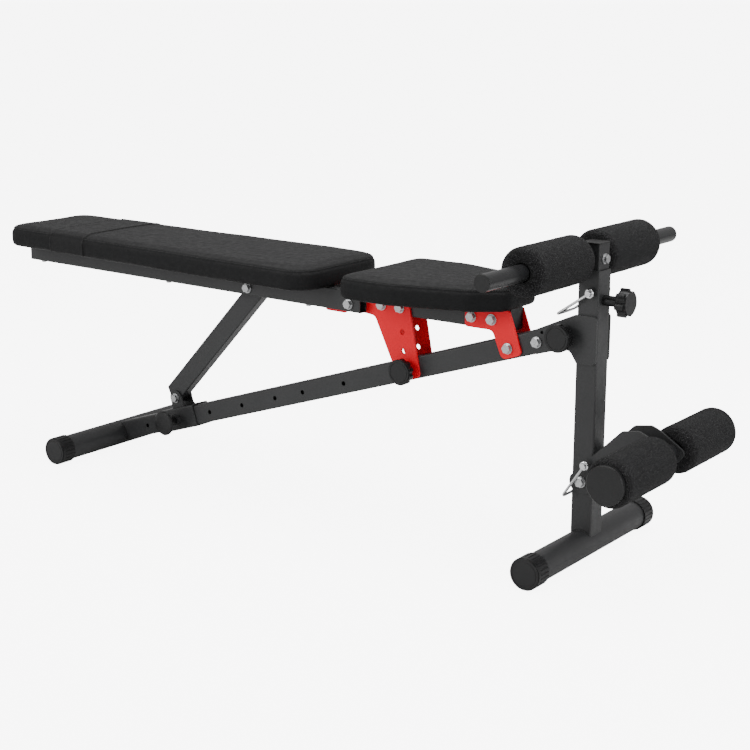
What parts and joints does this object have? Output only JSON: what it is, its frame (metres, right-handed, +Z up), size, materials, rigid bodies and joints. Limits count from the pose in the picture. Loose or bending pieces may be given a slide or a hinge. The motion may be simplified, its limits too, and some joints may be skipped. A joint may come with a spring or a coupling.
{
  "type": "decline sit up bench",
  "caption": "Adjustable decline sit-up bench: sloping beam on round feet, tilting seat, reclining backrest on a strut, foam leg rollers and a folding front stand.",
  "frame": {"origin": "on the floor, under the middle of the bench's overall length and width", "axes": "+X from the head end to the leg rollers, +Y to the bench's far side (the lock knobs are on -Y), +Z up"},
  "size_m": [1.5562, 0.622, 0.5661],
  "materials": {
    "frame_black": "fine-textured satin black powder coat",
    "bracket_red": "bright red powder coat",
    "zinc": "zinc plated",
    "chrome_wire": "bright plated wire",
    "black_plastic": "matte moulded plastic",
    "foam": "black foam with pale flecks",
    "vinyl": "fine-grained black upholstery vinyl",
    "bar_black": "smooth satin black"
  },
  "bodies": {
    "main_frame": {"main_beam": "frame_black", "beam_end_plug": "black_plastic", "rear_foot_tube": "frame_black", "rear_foot_caps": "black_plastic", "stand_pivot_bolt": "zinc", "seat_pivot_bolt": "zinc"},
    "front_stand": {"front_post": "frame_black", "front_foot_tube": "frame_black", "front_foot_caps": "black_plastic", "gusset_plates": "frame_black", "post_lock_pin": "chrome_wire", "leg_arm_bolt": "zinc"},
    "stand_knob": {"stand_lock_knob": "black_plastic"},
    "star_knob": {"star_knob": "black_plastic"},
    "roller_post": {"roller_post": "frame_black", "roller_post_cap": "black_plastic", "top_roller_bar": "bar_black", "top_bar_plugs": "black_plastic", "roller_bar_bolt": "zinc"},
    "top_foam_near": {"top_roller_near": "foam"},
    "top_foam_far": {"top_roller_far": "foam"},
    "upper_bail": {"post_lock_bail": "chrome_wire"},
    "leg_arm": {"leg_arm_plates": "frame_black", "leg_roller_bar": "bar_black", "leg_roller_discs": "black_plastic", "leg_lock_pin": "chrome_wire"},
    "leg_foam_near": {"leg_roller_near": "foam"},
    "leg_foam_far": {"leg_roller_far": "foam"},
    "lower_bail": {"leg_lock_bail": "chrome_wire"},
    "seat": {"seat_tube": "frame_black", "seat_tube_plug": "black_plastic", "seat_rear_brackets": "bracket_red", "seat_front_brackets": "bracket_red", "seat_bracket_bolts": "zinc", "seat_pad": "vinyl"},
    "seat_knob": {"seat_lock_knob": "black_plastic"},
    "hinge_bolt": {"backrest_hinge_bolt": "zinc"},
    "backrest": {"backrest_rails": "frame_black", "backrest_pad": "vinyl", "backrest_pad_screws": "zinc"},
    "strut_bolt": {"strut_top_bolt": "zinc"},
    "strut": {"support_strut": "frame_black", "strut_bushes": "zinc"},
    "sleeve": {"sliding_sleeve": "frame_black", "sleeve_ears": "frame_black", "strut_lower_bolt": "zinc"},
    "pull_pin": {"pull_pin_knob": "black_plastic"}
  },
  "joints": [
    {"name": "seat_tilt", "type": "hinge", "parent": "main_frame", "child": "seat", "pos_m": [0.44226, 0, 0.35331], "axis": [0, 1, 0], "range_deg": [-17.9, 0]},
    {"name": "hinge_bolt_turn", "type": "hinge", "parent": "seat", "child": "hinge_bolt", "pos_m": [0.10862, 0, 0.3945], "axis": [0, 1, 0], "range_deg": [-1, 38.59]},
    {"name": "backrest_recline", "type": "hinge", "parent": "hinge_bolt", "child": "backrest", "pos_m": [0.10862, 0, 0.3945], "axis": [0, 1, 0], "range_deg": [0, 53.44]},
    {"name": "strut_bolt_turn", "type": "hinge", "parent": "backrest", "child": "strut_bolt", "pos_m": [-0.14098, 0, 0.39612], "axis": [0, 1, 0], "range_deg": [-16.34, 1]},
    {"name": "strut_swing", "type": "hinge", "parent": "strut_bolt", "child": "strut", "pos_m": [-0.14098, 0, 0.39612], "axis": [0, 1, 0], "range_deg": [-96.03, 1]},
    {"name": "sleeve_slide", "type": "slide", "parent": "main_frame", "child": "sleeve", "axis": [0.9504, 0, 0.3112], "range_m": [-0.002, 0.3595]},
    {"name": "pull_pin_pull", "type": "slide", "parent": "sleeve", "child": "pull_pin", "axis": [0, -1, 0], "range_m": [0, 0.01], "stiffness_N_per_m": 1500, "springref_m": -0.004},
    {"name": "stand_fold", "type": "hinge", "parent": "main_frame", "child": "front_stand", "pos_m": [0.50023, 0, 0.37229], "axis": [0, 1, 0], "range_deg": [0, 68]},
    {"name": "roller_post_height", "type": "slide", "parent": "front_stand", "child": "roller_post", "axis": [0, 0, 1], "range_m": [0, 0.075]},
    {"name": "leg_arm_swing", "type": "hinge", "parent": "front_stand", "child": "leg_arm", "pos_m": [0.59432, 0, 0.141], "axis": [0, 1, 0], "range_deg": [-30, 0]},
    {"name": "upper_bail_swing", "type": "hinge", "parent": "front_stand", "child": "upper_bail", "pos_m": [0.60052, 0, 0.4687], "axis": [0, 1, 0], "range_deg": [0, 85]},
    {"name": "lower_bail_swing", "type": "hinge", "parent": "leg_arm", "child": "lower_bail", "pos_m": [0.60662, 0, 0.1747], "axis": [0, 1, 0], "range_deg": [0, 105]},
    {"name": "top_roller_near_spin", "type": "hinge", "parent": "roller_post", "child": "top_foam_near", "pos_m": [0.57352, -0.1135, 0.5246], "axis": [0, 1, 0], "continuous": true},
    {"name": "top_roller_far_spin", "type": "hinge", "parent": "roller_post", "child": "top_foam_far", "pos_m": [0.57352, 0.1135, 0.5246], "axis": [0, 1, 0], "continuous": true},
    {"name": "leg_roller_near_spin", "type": "hinge", "parent": "leg_arm", "child": "leg_foam_near", "pos_m": [0.73662, -0.1135, 0.2089], "axis": [0, 1, 0], "continuous": true},
    {"name": "leg_roller_far_spin", "type": "hinge", "parent": "leg_arm", "child": "leg_foam_far", "pos_m": [0.73662, 0.1135, 0.2089], "axis": [0, 1, 0], "continuous": true},
    {"name": "star_knob_turn", "type": "hinge", "parent": "front_stand", "child": "star_knob", "pos_m": [0.61432, 0, 0.455], "axis": [1, 0, 0], "continuous": true},
    {"name": "stand_knob_turn", "type": "hinge", "parent": "front_stand", "child": "stand_knob", "pos_m": [0.55345, -0.035, 0.38972], "axis": [0, 1, 0], "continuous": true},
    {"name": "seat_knob_turn", "type": "hinge", "parent": "main_frame", "child": "seat_knob", "pos_m": [0.22748, -0.035, 0.28299], "axis": [0, 1, 0], "continuous": true}
  ],
  "couplings": [
    {"joint": "hinge_bolt_turn", "follows": "seat_tilt", "ratio": -2.1278},
    {"joint": "strut_bolt_turn", "follows": "seat_tilt", "ratio": 0.88472},
    {"joint": "sleeve_slide", "follows": "backrest_recline", "m_per_rad": 0.38328},
    {"joint": "strut_swing", "follows": "backrest_recline", "ratio": -1.7876},
    {"joint": "upper_bail_swing", "follows": "stand_fold", "ratio": 1},
    {"joint": "lower_bail_swing", "follows": "leg_arm_swing", "ratio": -0.5}
  ]
}
